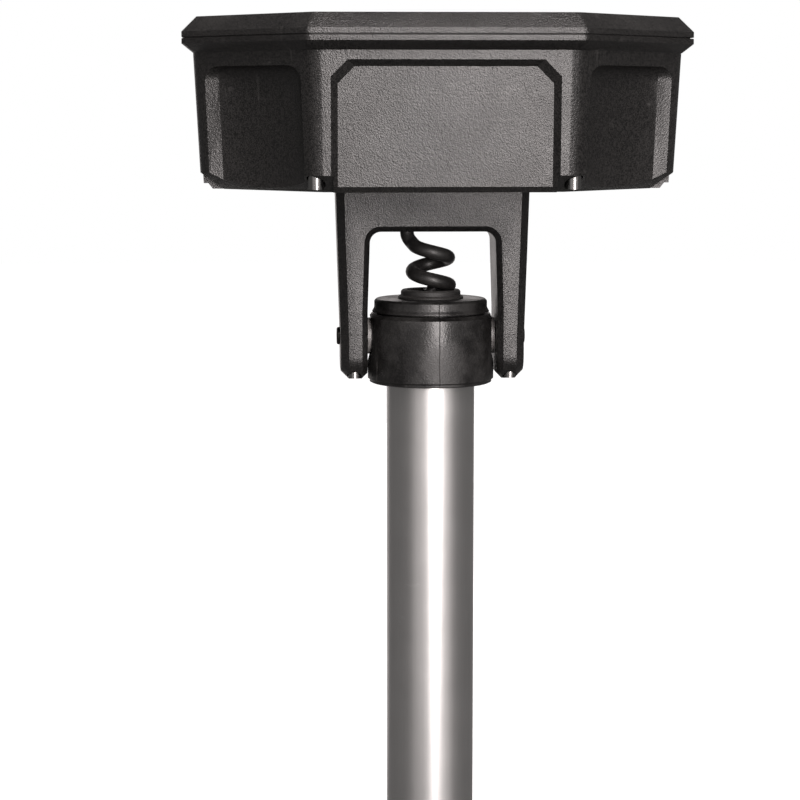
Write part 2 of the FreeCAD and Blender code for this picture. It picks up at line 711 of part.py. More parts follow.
def port_saddle():
    block = box((-11, 8, PORT_Z - 16), (11, SADDLE_FACE, PORT_Z + 16))
    upright = edges_where(block, lambda e: e.BoundBox.YLength > 5 and e.BoundBox.YMax > 20)
    block = block.makeFillet(3.0, upright)
    block = block.cut(rod(POLE_R, 0, 0, 0, 100))
    tools = [cyl(5.4, (0, 8, PORT_Z), (0, SADDLE_FACE + 1, PORT_Z))]
    for z in (PORT_Z - 11.0, PORT_Z + 11.0):
        tools.append(cyl(1.25, (0, 8, z), (0, SADDLE_FACE + 1, z)))
    return cut_all(block, tools)


def data_port():
    neck = cyl(5.4, (0, 13.0, PORT_Z), (0, SADDLE_FACE, PORT_Z))
    flange = cyl(7.6, (0, SADDLE_FACE, PORT_Z), (0, SADDLE_FACE + 1.6, PORT_Z))
    barrel = cyl(6.2, (0, SADDLE_FACE, PORT_Z), (0, SADDLE_FACE + 5.6, PORT_Z))
    socket = cyl(4.8, (0, SADDLE_FACE - 0.4, PORT_Z), (0, SADDLE_FACE + 7, PORT_Z))
    return joined([neck, flange, barrel]).cut(socket)


def data_port_pins():
    pins = []
    floor = SADDLE_FACE - 0.4
    for i in range(7):
        angle = math.radians(60 * i)
        reach = 0.0 if i == 6 else 2.7
        x = reach * math.cos(angle)
        z = PORT_Z + reach * math.sin(angle)
        pins.append(cyl(0.5, (x, floor, z), (x, floor + 4.2, z)))
    return pins


def port_screws():
    screws = []
    for z in (PORT_Z - 11.0, PORT_Z + 11.0):
        shaft = cyl(1.25, (0, POLE_BORE_R, z), (0, SADDLE_FACE, z))
        head = cyl(2.4, (0, SADDLE_FACE, z), (0, SADDLE_FACE + 1.5, z))
        socket = cyl(1.0, (0, SADDLE_FACE + 0.6, z), (0, SADDLE_FACE + 2, z))
        screws.append(joined([shaft, head]).cut(socket))
    return screws


# ---- inside the head ----------------------------------------------------------------

def chassis_plate():
    plate = box((-66, -40, CHASSIS_LOW), (66, 40, CHASSIS_TOP))
    plate = plate.fuse(box((-56, -50, CHASSIS_LOW), (56, 50, CHASSIS_TOP))).removeSplitter()
    holes = [rod(1.5, x, y, CHASSIS_LOW - 1, CHASSIS_TOP + 1) for x, y in CHASSIS_POINTS]
    for x in (-YOKE_SCREW_X, YOKE_SCREW_X):
        for y in (-YOKE_SCREW_Y, YOKE_SCREW_Y):
            holes.append(rod(2.0, x, y, CHASSIS_LOW - 1, CHASSIS_TOP + 1))
    holes.append(rod(9.0, TAIL_X, TAIL_Y, CHASSIS_LOW - 1, CHASSIS_TOP + 1))
    for x, y in POST_POINTS:
        holes.append(rod(5.5, x, y, CHASSIS_LOW - 1, CHASSIS_TOP + 1))
    return cut_all(plate, holes)


def pan_screw(x, y, seat, length, shaft_r=1.5, head_r=2.8):
    """A small pan head screw whose head rests at the given height."""
    shaft = rod(shaft_r, x, y, seat - length, seat)
    head = rod(head_r, x, y, seat, seat + 2.0)
    socket = rod(1.0, x, y, seat + 1.0, seat + 3.0)
    return joined([shaft, head]).cut(socket)


def chassis_screws():
    return [pan_screw(x, y, CHASSIS_TOP, 5.0) for x, y in CHASSIS_POINTS]


def board_spacers():
    spacers = []
    for x, y in SPACER_POINTS:
        bore = rod(1.3, x, y, CHASSIS_TOP - 1, BOARD_LOW + 1)
        spacers.append(rod(3.0, x, y, CHASSIS_TOP, BOARD_LOW).cut(bore))
    return spacers


def board_screws():
    return [pan_screw(x, y, BOARD_TOP, 6.0, 1.3, 2.6) for x, y in SPACER_POINTS]


def main_board():
    board = box((-58, -50, BOARD_LOW), (58, 50, BOARD_TOP))
    holes = [rod(1.3, x, y, BOARD_LOW - 1, BOARD_TOP + 1) for x, y in SPACER_POINTS]
    holes.append(rod(5.0, TAIL_X, TAIL_Y, BOARD_LOW - 1, BOARD_TOP + 1))
    return cut_all(board, holes)


def shield_can(low, high, wall):
    """A thin open-bottomed can."""
    outer = box(low, high)
    inner = box((low[0] + wall, low[1] + wall, low[2] - 1),
                (high[0] - wall, high[1] - wall, high[2] - wall))
    return outer.cut(inner)


def receiver_module():
    return shield_can((6, -10, BOARD_TOP), (52, 34, BOARD_TOP + 5.0), 0.6)


def power_module():
    base = box((-54, 12, BOARD_TOP), (-24, 40, BOARD_TOP + 3.0))
    coil = box((-48, 18, BOARD_TOP + 3.0), (-34, 32, BOARD_TOP + 8.0))
    return joined([base, coil])


def board_socket():
    return box((TAIL_X - 8, -38, BOARD_TOP), (TAIL_X + 8, -26, BOARD_TOP + 4.0))


def antenna_posts():
    posts = []
    for x, y in POST_POINTS:
        body = rod(4.0, x, y, FLOOR_TOP, GROUND_LOW)
        stud = rod(1.5, x, y, FLOOR_TOP - 2, FLOOR_TOP)
        bore = rod(1.5, x, y, GROUND_LOW - 9, GROUND_LOW + 1)
        posts.append(joined([body, stud]).cut(bore))
    return posts


def antenna_screws():
    return [pan_screw(x, y, GROUND_TOP, 8.0) for x, y in POST_POINTS]


def feed_points():
    return [(12.0 * math.cos(math.radians(45 + 90 * i)),
             12.0 * math.sin(math.radians(45 + 90 * i))) for i in range(4)]


def ground_plane():
    plate = frustum(octagon(75.0, 31.0, GROUND_LOW), octagon(75.0, 31.0, GROUND_TOP))
    holes = [rod(1.5, x, y, GROUND_LOW - 1, GROUND_TOP + 1) for x, y in POST_POINTS]
    holes += [rod(1.4, x, y, GROUND_LOW - 1, GROUND_TOP + 1) for x, y in feed_points()]
    return cut_all(plate, holes)


def lower_patch():
    disc = rod(37.0, 0, 0, GROUND_TOP, LOWER_PATCH_TOP)
    return cut_all(disc, [rod(0.7, x, y, 330, 350) for x, y in feed_points()])


def upper_patch():
    disc = rod(26.0, 0, 0, LOWER_PATCH_TOP, UPPER_PATCH_TOP)
    return cut_all(disc, [rod(0.7, x, y, 330, 350) for x, y in feed_points()])


def feed_pins():
    return [rod(0.7, x, y, GROUND_LOW, UPPER_PATCH_TOP + 0.5) for x, y in feed_points()]


def amplifier_board():
    return box((-26, -24, GROUND_LOW - 1.6), (26, 24, GROUND_LOW))


def amplifier_shield():
    base = GROUND_LOW - 1.6
    can = box((-22, -20, base - 5.0), (22, 20, base))
    return can.cut(box((-21.4, -19.4, base - 4.4), (21.4, 19.4, base + 1)))


def coax_jumper():
    low = BOARD_TOP + 5.0
    high = GROUND_LOW - 6.6
    lead = rod(1.2, 14, 8, low, high)
    return joined([lead, rod(2.6, 14, 8, low, low + 2.4), rod(2.6, 14, 8, high - 2.4, high)])


# ---- output -------------------------------------------------------------------------

NODES = {
    "pole_tube": pole_tube, "pole_end_insert": pole_end_insert,
    "end_insert_screws": end_insert_screws, "pole_collar": pole_collar,
    "collar_screws": collar_screws, "collar_cap": collar_cap, "cable_grommet": cable_grommet,
    "pivot_inserts": pivot_inserts, "pivot_screws": pivot_screws,
    "friction_washers": friction_washers, "pivot_bushes": pivot_bushes,
    "pole_cable": pole_cable, "port_saddle": port_saddle, "data_port": data_port,
    "data_port_pins": data_port_pins, "port_screws": port_screws,
    "yoke": yoke, "leg_screws": leg_screws, "yoke_screws": yoke_screws,
    "housing": housing, "lid_gasket": lid_gasket, "top_cover": top_cover,
    "lid_inserts": lid_inserts, "case_screws": case_screws, "vent_plug": vent_plug,
    "coiled_cable": coiled_cable, "cable_tail": cable_tail, "cable_gland": cable_gland,
    "gland_nut": gland_nut, "inner_lead": inner_lead, "lead_plug": lead_plug,
    "chassis_plate": chassis_plate, "chassis_screws": chassis_screws,
    "board_spacers": board_spacers, "main_board": main_board, "board_screws": board_screws,
    "receiver_module": receiver_module, "power_module": power_module,
    "board_socket": board_socket, "antenna_posts": antenna_posts,
    "antenna_screws": antenna_screws, "ground_plane": ground_plane,
    "lower_patch": lower_patch, "upper_patch": upper_patch, "feed_pins": feed_pins,
    "amplifier_board": amplifier_board, "amplifier_shield": amplifier_shield,
    "coax_jumper": coax_jumper,
}


def main():
    os.makedirs("parts", exist_ok=True)
    for name, make in NODES.items():
        shape = make()
        if isinstance(shape, list):
            shape = Part.makeCompound(shape)
        shape.exportStep(f"parts/{name}.step")


main()
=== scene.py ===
import json
import math

import bmesh
import bpy
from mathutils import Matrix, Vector
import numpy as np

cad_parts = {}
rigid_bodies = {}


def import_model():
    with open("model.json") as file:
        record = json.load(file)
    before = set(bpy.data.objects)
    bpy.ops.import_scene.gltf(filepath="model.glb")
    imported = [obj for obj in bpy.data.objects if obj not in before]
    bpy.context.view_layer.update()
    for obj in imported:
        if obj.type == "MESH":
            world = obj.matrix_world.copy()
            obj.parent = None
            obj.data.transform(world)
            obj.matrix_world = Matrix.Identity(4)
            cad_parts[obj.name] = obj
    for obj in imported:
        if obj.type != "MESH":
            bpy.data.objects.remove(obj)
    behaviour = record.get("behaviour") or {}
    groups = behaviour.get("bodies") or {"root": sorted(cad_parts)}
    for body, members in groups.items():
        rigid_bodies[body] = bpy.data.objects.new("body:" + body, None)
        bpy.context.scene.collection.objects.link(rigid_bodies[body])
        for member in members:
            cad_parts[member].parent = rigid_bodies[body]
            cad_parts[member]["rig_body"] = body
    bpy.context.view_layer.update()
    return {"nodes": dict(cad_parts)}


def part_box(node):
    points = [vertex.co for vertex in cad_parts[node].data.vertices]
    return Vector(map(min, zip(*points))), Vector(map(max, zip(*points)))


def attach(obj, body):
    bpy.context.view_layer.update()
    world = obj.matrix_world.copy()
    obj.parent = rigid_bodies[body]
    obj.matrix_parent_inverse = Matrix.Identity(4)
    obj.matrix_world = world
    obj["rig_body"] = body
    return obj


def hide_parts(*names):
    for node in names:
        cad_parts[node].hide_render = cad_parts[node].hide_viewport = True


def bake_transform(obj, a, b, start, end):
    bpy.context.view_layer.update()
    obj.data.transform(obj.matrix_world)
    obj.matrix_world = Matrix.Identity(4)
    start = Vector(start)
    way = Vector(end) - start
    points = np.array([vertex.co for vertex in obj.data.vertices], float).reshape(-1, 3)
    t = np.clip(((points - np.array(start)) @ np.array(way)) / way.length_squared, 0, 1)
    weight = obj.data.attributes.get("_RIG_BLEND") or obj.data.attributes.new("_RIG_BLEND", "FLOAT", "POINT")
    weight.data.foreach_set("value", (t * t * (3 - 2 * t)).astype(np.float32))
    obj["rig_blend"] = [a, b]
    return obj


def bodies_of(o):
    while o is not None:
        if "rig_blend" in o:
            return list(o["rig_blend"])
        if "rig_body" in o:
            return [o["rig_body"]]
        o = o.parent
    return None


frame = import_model()
nodes = frame["nodes"]

# ---------------------------------------------------------------- sizes, metres
def lowest(node):
    """The height of a CAD node's lowest point."""
    return round(float(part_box(node)[0][2]), 5)


def highest(node):
    """The height of a CAD node's highest point."""
    return round(float(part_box(node)[1][2]), 5)


HEAD_HALF = round(float(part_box("housing")[1][0]), 5)
HEAD_LOW = lowest("housing")
JOINT_Z = (highest("housing") + lowest("top_cover")) / 2
RIM_HIGH = JOINT_Z + 0.0020
LEG_LOW = lowest("yoke")
BRIDGE_LOW = 0.2787
COLLAR_LOW = lowest("pole_collar")
COLLAR_TOP = highest("pole_collar")
CAP_TOP = highest("collar_cap")

# The lead: a coil between the grommet and the bridge, then a straight tail.
GROMMET_FLOOR = round(highest("cable_grommet") - 0.0014, 5)
LEAD_DIAMETER = 0.005
COIL_RADIUS = 0.0071
COIL_TAPER = 0.10
COIL_LOW = round(GROMMET_FLOOR + 0.0028, 5)
COIL_HIGH = round(COIL_LOW + 0.0150, 5)
COIL_FROM = 720
COIL_TO = 180
COIL_STEP = 30
TAIL = (-0.0086, 0.0020)
SAME_POINT = 0.0002

# Widths of the rounded edges.
RIM_ROUND = 0.0013
LID_TOP_ROUND = 0.0013
UNDER_RIM_ROUND = 0.0005
JOINT_ROUND = 0.00015
YOKE_ROUND = 0.0004
COLLAR_ROUND = 0.0006
CAP_ROUND = 0.0003
GROMMET_ROUND = 0.00035

# Where the edges to be rounded lie: inwards from the octagon's flats, out from the pole's axis,
# or up from a piece's end.
RIM_BAND = 0.0008
UNDER_RIM_BAND = 0.0012
LID_TOP_INSET = 0.0070
LID_TOP_RISE = 0.004
YOKE_FACE = 0.0115
YOKE_TIP = 0.002
COLLAR_SIDE = 0.0195
COLLAR_RIM = 0.0016
COLLAR_FOOT = 0.002
CAP_SIDE = 0.0185
GROMMET_SIDE = 0.0078

LEG_SCREW_FOOT = 0.0016
LEG_SCREW_ADDED = 0.0030

# Mould seams: the axis they cross, where, how far they wander, and their share of the grain's depth.
COLLAR_SEAM = ("X", 0.0016, 0.0006, 1.0)
LEG_SEAM = ("Z", 0.2434, 0.0001, 0.35)
SEAM_HALF = 0.00020

CAMERA_PLACE = Vector((-0.050, -0.816, 0.323))
CAMERA_YAW = 0.0476
CAMERA_PITCH = 0.1275
LENS_MM = 101.5
LIGHT_TARGET = (0.0, 0.0, 0.28)
WARM = (1.0, 0.935, 0.92)
LIGHTS = (
    # name, place, width, height, watts
    ("key", (0.24, -1.30, 0.80), 0.46, 2.2, 49.0),
    ("left_fill", (-0.66, -1.10, 0.60), 0.9, 2.2, 2.8),
    ("high_front", (0.10, -1.05, 1.25), 0.9, 0.5, 13.0),
    ("right_fill", (0.85, -0.95, 0.45), 0.5, 2.0, 1.6),
    ("back", (-0.1, 1.5, 0.30), 1.5, 1.4, 5.0),
)
SEEN_WHITE = (1.0, 1.0, 1.0, 1.0)
FELT_GREY = (0.145, 0.140, 0.138, 1.0)
FLOOR_GREY = (0.86, 0.86, 0.86, 1.0)
FLOOR_GLOW = 0.9
FLOOR_SIZE = 8.0
FLOOR_DROP = 0.0005


# ---------------------------------------------------------------- small helpers
def deselect_all():
    """Leaves nothing selected, so that an operator acts only on what is chosen next."""
    for shown in bpy.context.selected_objects:
        shown.select_set(False)


def take(piece):
    """Makes a piece the only selected and the active object."""
    deselect_all()
    piece.select_set(True)
    bpy.context.view_layer.objects.active = piece


def body_of(node):
    """The name of the body that a CAD node rides on."""
    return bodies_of(nodes[node])[0]


def copy_of(node, name):
    """A copy of a CAD node with its own mesh, alone selected."""
    piece = bpy.data.objects.new(name, nodes[node].data.copy())
    bpy.context.scene.collection.objects.link(piece)
    take(piece)
    return piece


def stand_in(piece, node):
    """Shows a piece in a CAD node's place, on the same body."""
    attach(piece, body_of(node))
    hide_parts(node)


# ---------------------------------------------------------------- camera
def add_camera():
    """A camera in front of the head, a little to its left."""
    camera = bpy.data.objects.new("camera", bpy.data.cameras.new("camera"))
    bpy.context.scene.collection.objects.link(camera)
    camera.data.lens = LENS_MM
    camera.data.clip_start = 0.01
    camera.data.clip_end = 50
    forward = Vector((math.sin(CAMERA_YAW) * math.cos(CAMERA_PITCH),
                      math.cos(CAMERA_YAW) * math.cos(CAMERA_PITCH),
                      -math.sin(CAMERA_PITCH)))
    camera.location = CAMERA_PLACE
    camera.rotation_mode = "QUATERNION"
    camera.rotation_quaternion = forward.to_track_quat("-Z", "Y")
    bpy.context.scene.camera = camera


# ---------------------------------------------------------------- the coiled lead
def lead_points():
    """Out of the grommet, one and a half turns up, and straight up into the head's gland."""
    points = [(0.0, 0.0, GROMMET_FLOOR - 0.003), (0.0, 0.0, GROMMET_FLOOR + 0.001),
              (0.0030, 0.0012, GROMMET_FLOOR + 0.0024)]
    for angle in range(COIL_FROM, COIL_TO - 1, -COIL_STEP):
        share = (COIL_FROM - angle) / (COIL_FROM - COIL_TO)
        turn = math.radians(angle)
        reach = COIL_RADIUS * (1.0 - COIL_TAPER * share)
        points.append((reach * math.cos(turn), reach * math.sin(turn),
                       COIL_LOW + share * (COIL_HIGH - COIL_LOW)))
    x, y = TAIL
    points += [(x + 0.0002, y - 0.0004, COIL_HIGH + 0.0024), (x, y, COIL_HIGH + 0.0055),
               (x, y, COIL_HIGH + 0.0100), (x, y, COIL_HIGH + 0.0152)]
    return points


def lead_curve(thickness):
    """The lead's route as one smooth open spline."""
    curve = bpy.data.curves.new("lead_route", "CURVE")
    curve.dimensions = "3D"
    curve.resolution_u = 10
    curve.bevel_depth = thickness / 2
    curve.bevel_resolution = 6
    curve.use_fill_caps = True
    route = lead_points()
    spline = curve.splines.new("NURBS")
    spline.points.add(len(route) - 1)
    for point, place in zip(spline.points, route):
        point.co = (*place, 1.0)
    spline.order_u = 3
    spline.use_endpoint_u = True
    return bpy.data.objects.new("lead_route", curve)


def mesh_from(thickness):
    """The lead's curve as a mesh: a tube, or its bare centreline where the thickness is nothing."""
    carrier = lead_curve(thickness)
    bpy.context.scene.collection.objects.link(carrier)
    bpy.context.view_layer.update()
    made = bpy.data.meshes.new_from_object(
        carrier.evaluated_get(bpy.context.evaluated_depsgraph_get()))
    bpy.data.objects.remove(carrier)
    return made


def without_repeats(line):
    """The points of a line without those that fall on the one before."""
    kept = [line[0]]
    for place in line[1:]:
        if (Vector(place) - Vector(kept[-1])).length > SAME_POINT:
            kept.append(place)
    return kept


def add_lead(finish):
    """The coiled lead, which follows the pole at its foot and the head at its top."""
    line = without_repeats([tuple(v.co) for v in mesh_from(0.0).vertices])
    lead = bpy.data.objects.new("coiled_lead", mesh_from(LEAD_DIAMETER))
    bpy.context.scene.collection.objects.link(lead)
    lead.data.materials.clear()
    lead.data.materials.append(finish)
    take(lead)
    bpy.ops.object.shade_smooth()
    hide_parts("coiled_cable", "cable_tail")
    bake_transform(lead, "pole", "head", start=(0.0, 0.0, GROMMET_FLOOR), end=(0.0, 0.0, BRIDGE_LOW))


# ---------------------------------------------------------------- node groups
def new_group(name, inputs, outputs):
    """An empty shader node group with its named number sockets, and its two end nodes."""
    group = bpy.data.node_groups.new(name, "ShaderNodeTree")
    for label, value in inputs:
        socket = group.interface.new_socket(label, in_out="INPUT", socket_type="NodeSocketFloat")
        socket.default_value = value
    for label in outputs:
        group.interface.new_socket(label, in_out="OUTPUT", socket_type="NodeSocketFloat")
    return group, group.nodes.new("NodeGroupInput"), group.nodes.new("NodeGroupOutput")


def math_node(tree, operation, first, second=0.0, clamp=False):
    """A Math node fed by sockets or numbers; gives its output socket."""
    node = tree.nodes.new("ShaderNodeMath")
    node.operation = operation
    node.use_clamp = clamp
    for socket, value in zip(node.inputs, (first, second)):
        if isinstance(value, bpy.types.NodeSocket):
            tree.links.new(value, socket)
        else:
            socket.default_value = value
    return node.outputs[0]


def noise(tree, place, scale, detail=3.0, rough=0.55, stretch=None, turn=0.0):
    """Noise in object space, stretched where a direction is given and turned in the front plane."""
    if stretch:
        mapping = tree.nodes.new("ShaderNodeMapping")
        mapping.inputs["Scale"].default_value = stretch
        mapping.inputs["Rotation"].default_value = (0.0, turn, 0.0)
        tree.links.new(place, mapping.inputs["Vector"])
        place = mapping.outputs["Vector"]
    node = tree.nodes.new("ShaderNodeTexNoise")
    node.inputs["Detail"].default_value = detail
    node.inputs["Roughness"].default_value = rough
    tree.links.new(place, node.inputs["Vector"])
    if isinstance(scale, bpy.types.NodeSocket):
        tree.links.new(scale, node.inputs["Scale"])
    else:
        node.inputs["Scale"].default_value = scale
    return node.outputs["Fac"]


def ramp(tree, value, low, high):
    """Stretches a value so that low gives 0 and high gives 1."""
    node = tree.nodes.new("ShaderNodeMapRange")
    node.interpolation_type = "SMOOTHSTEP"
    node.inputs["From Min"].default_value = low
    node.inputs["From Max"].default_value = high
    tree.links.new(value, node.inputs["Value"])
    return node.outputs["Result"]


def object_place(tree):
    """The place on the object itself, so that a pattern moves with its piece."""
    return tree.nodes.new("ShaderNodeTexCoord").outputs["Object"]


def spark_grain_group():
    """The fine pitted texture of a spark-eroded mould: pits of two sizes."""
    group, given, result = new_group("spark_grain", [("Pits per metre", 2600.0), ("Coarse share", 0.35)],
                                     ["Height", "Shade"])
    place = object_place(group)
    fine = noise(group, place, given.outputs["Pits per metre"], detail=2.0)
    coarse_scale = math_node(group, "MULTIPLY", given.outputs["Pits per metre"], 0.38)
    coarse = noise(group, place, coarse_scale, detail=1.5)
    part = math_node(group, "MULTIPLY", coarse, given.outputs["Coarse share"])
    height = math_node(group, "ADD", fine, part)
    group.links.new(height, result.inputs["Height"])
    group.links.new(ramp(group, height, 0.52, 0.82), result.inputs["Shade"])
    return group


def handling_group():
    """Wear from use: hairline scuffs, cloudy smears and dust that settles on upper faces."""
    group, given, result = new_group("handling", [("Scuffs", 0.5), ("Dust", 0.3)],
                                     ["Scuff", "Smear", "Dust"])
    place = object_place(group)
    upright = noise(group, place, 240.0, detail=4.0, stretch=(1.0, 1.0, 0.08))
    level = noise(group, place, 300.0, detail=4.0, stretch=(0.09, 0.6, 1.0))
    slanted = noise(group, place, 210.0, detail=4.0, stretch=(0.12, 1.0, 1.0), turn=0.9)
    scratched = math_node(group, "MAXIMUM", ramp(group, upright, 0.66, 0.74), ramp(group, level, 0.68, 0.76))
    scratched = math_node(group, "MAXIMUM", scratched, ramp(group, slanted, 0.64, 0.78))
    patches = ramp(group, noise(group, place, 42.0, detail=2.0), 0.45, 0.60)
    scuff = math_node(group, "MULTIPLY", math_node(group, "MULTIPLY", scratched, patches),
                      given.outputs["Scuffs"])
    group.links.new(scuff, result.inputs["Scuff"])
    group.links.new(ramp(group, noise(group, place, 55.0, detail=6.0, rough=0.68), 0.36, 0.66),
                    result.inputs["Smear"])
    normal = group.nodes.new("ShaderNodeNewGeometry")
    parts = group.nodes.new("ShaderNodeSeparateXYZ")
    group.links.new(normal.outputs["Normal"], parts.inputs["Vector"])
    upward = ramp(group, parts.outputs["Z"], 0.35, 1.0)
    specks = ramp(group, noise(group, place, 900.0, detail=3.0), 0.55, 0.72)
    cloud = ramp(group, noise(group, place, 45.0, detail=4.0), 0.35, 0.8)
    dust = math_node(group, "MULTIPLY", math_node(group, "ADD", specks, cloud), upward)
    group.links.new(math_node(group, "MULTIPLY", dust, given.outputs["Dust"], clamp=True),
                    result.inputs["Dust"])
    return group


def drawn_lines_group():
    """Fine lines that run one way round or along a turned or drawn piece."""
    group, given, result = new_group("drawn_lines", [("Lines per metre", 1400.0)], ["Height", "Shade"])
    place = object_place(group)
    fine = noise(group, place, given.outputs["Lines per metre"], detail=3.0, stretch=(1.0, 1.0, 0.02))
    broad = noise(group, place, 60.0, detail=3.0, stretch=(1.0, 1.0, 0.25))
    group.links.new(fine, result.inputs["Height"])
    group.links.new(math_node(group, "MULTIPLY", math_node(group, "ADD", fine, broad), 0.5),
                    result.inputs["Shade"])
    return group


SPARK_GRAIN = spark_grain_group()
HANDLING = handling_group()
DRAWN_LINES = drawn_lines_group()


# ---------------------------------------------------------------- materials
def start_material(name, roughness, metallic=0.0, **plain):
    """A material with its Principled node; plain holds values set straight on its sockets."""
    made = bpy.data.materials.new(name)
    made.use_nodes = True
    shader = made.node_tree.nodes["Principled BSDF"]
    shader.inputs["Roughness"].default_value = roughness
    shader.inputs["Metallic"].default_value = metallic
    for label, value in plain.items():
        shader.inputs[label.replace("_", " ")].default_value = value
    return made, made.node_tree, shader


def place_group(tree, group, **values):
    """Puts a node group in a material with that material's own values."""
    node = tree.nodes.new("ShaderNodeGroup")
    node.node_tree = group
    for label, value in values.items():
        node.inputs[label.replace("_", " ")].default_value = value
    return node


def colour_sockets(sockets):
    """The colour sockets of a Mix node, which has the same names for numbers and vectors."""
    return [socket for socket in sockets if socket.type == "RGBA"]


def mix_rgb(tree, share, first, second):
    """Mixes two colours or colour sockets by a share, and gives the colour socket."""
    node = tree.nodes.new("ShaderNodeMix")
    node.data_type = "RGBA"
    tree.links.new(share, node.inputs[0])
    for socket, colour in zip(colour_sockets(node.inputs), (first, second)):
        if isinstance(colour, bpy.types.NodeSocket):
            tree.links.new(colour, socket)
        else:
            socket.default_value = (*colour, 1.0)
    return colour_sockets(node.outputs)[0]


def add_bump(tree, shader, height, depth, strength=1.0):
    """Feeds the shader's Normal from a height, whose 0 to 1 is a depth in metres."""
    node = tree.nodes.new("ShaderNodeBump")
    node.inputs["Distance"].default_value = depth
    node.inputs["Strength"].default_value = strength
    tree.links.new(height, node.inputs["Height"])
    tree.links.new(node.outputs["Normal"], shader.inputs["Normal"])


def spread(tree, value, low, high):
    """Turns a 0 to 1 value into low to high."""
    node = tree.nodes.new("ShaderNodeMapRange")
    node.inputs["To Min"].default_value = low
    node.inputs["To Max"].default_value = high
    tree.links.new(value, node.inputs["Value"])
    return node.outputs["Result"]


def seam_height(tree, height, seam):
    """Adds the shallow, slightly wavy line that two parts of a mould leave across an axis."""
    axis, at, sway, share = seam
    place = object_place(tree)
    parts = tree.nodes.new("ShaderNodeSeparateXYZ")
    tree.links.new(place, parts.inputs["Vector"])
    along = (0.0, 0.0, 1.0) if axis == "X" else (1.0, 0.0, 0.0)
    wave = math_node(tree, "MULTIPLY", noise(tree, place, 160.0, detail=1.0, stretch=along), sway)
    across = math_node(tree, "SUBTRACT", math_node(tree, "SUBTRACT", parts.outputs[axis], wave), at)
    line = ramp(tree, math_node(tree, "ABSOLUTE", across), 0.0, SEAM_HALF)
    return math_node(tree, "ADD", height, math_node(tree, "MULTIPLY", line, share))


WORN_BLACK = (0.10, 0.097, 0.094)
DUST = (0.22, 0.21, 0.20)


def moulded_plastic(name, dark, light, roughness, pits, depth, scuffs, dust, worn=WORN_BLACK,
                    shine=0.5, mottle=0.035, cloud=0.0, seam=None):
    """Moulded plastic or rubber: two shades of pits, scuffs and clouds of wear, and dust on top.

    shine is how strongly it mirrors, mottle is how much its roughness varies, and cloud is how
    much of the worn colour lies over it in patches.
    """
    made, tree, shader = start_material(name, roughness, Specular_IOR_Level=shine)
    grain = place_group(tree, SPARK_GRAIN, Pits_per_metre=pits)
    wear = place_group(tree, HANDLING, Scuffs=scuffs, Dust=dust)
    body = mix_rgb(tree, grain.outputs["Shade"], dark, light)
    clouded = mix_rgb(tree, math_node(tree, "MULTIPLY", wear.outputs["Smear"], cloud), body, worn)
    scuffed = mix_rgb(tree, wear.outputs["Scuff"], clouded, worn)
    dusty = mix_rgb(tree, wear.outputs["Dust"], scuffed, DUST)
    tree.links.new(dusty, shader.inputs["Base Color"])
    gloss = spread(tree, wear.outputs["Smear"], roughness - mottle, roughness + mottle)
    tree.links.new(math_node(tree, "ADD", gloss, math_node(tree, "MULTIPLY", wear.outputs["Dust"], 0.3),
                             clamp=True), shader.inputs["Roughness"])
    height = grain.outputs["Height"]
    if seam:
        height = seam_height(tree, height, seam)
    add_bump(tree, shader, height, depth)
    return made


METAL_SCUFFS = 0.4
METAL_DUST = 0.05
METAL_MOTTLE = 0.012
SCRATCH_BRIGHTER = 1.15


def drawn_metal(name, dark, light, roughness, lines, depth):
    """Metal with fine draw or turning lines and light handling marks."""
    made, tree, shader = start_material(name, roughness, metallic=1.0)
    lay = place_group(tree, DRAWN_LINES, Lines_per_metre=lines)
    wear = place_group(tree, HANDLING, Scuffs=METAL_SCUFFS, Dust=METAL_DUST)
    body = mix_rgb(tree, lay.outputs["Shade"], dark, light)
    scratch = tuple(SCRATCH_BRIGHTER * part for part in light)
    tree.links.new(mix_rgb(tree, wear.outputs["Scuff"], body, scratch), shader.inputs["Base Color"])
    gloss = spread(tree, wear.outputs["Smear"], roughness - METAL_MOTTLE, roughness + METAL_MOTTLE)
    tree.links.new(gloss, shader.inputs["Roughness"])
    add_bump(tree, shader, lay.outputs["Height"], depth)
    return made


def printed_board(name, mask, track):
    """Solder mask with the faint pattern of tracks and pads under it."""
    made, tree, shader = start_material(name, 0.32, Coat_Weight=0.3)
    place = object_place(tree)
    brick = tree.nodes.new("ShaderNodeTexBrick")
    brick.inputs["Scale"].default_value = 180.0
    brick.inputs["Mortar Size"].default_value = 0.06
    brick.inputs["Color1"].default_value = (*mask, 1.0)
    brick.inputs["Color2"].default_value = (*[0.82 * c for c in mask], 1.0)
    brick.inputs["Mortar"].default_value = (*track, 1.0)
    tree.links.new(place, brick.inputs["Vector"])
    patches = ramp(tree, noise(tree, place, 90.0), 0.5, 0.56)
    tree.links.new(mix_rgb(tree, patches, mask, brick.outputs["Color"]), shader.inputs["Base Color"])
    add_bump(tree, shader, brick.outputs["Fac"], 0.00003, 0.5)
    return made


BLACK_PIT = (0.0010, 0.0009, 0.0009)
BLACK_FACE = (0.0120, 0.0114, 0.0111)

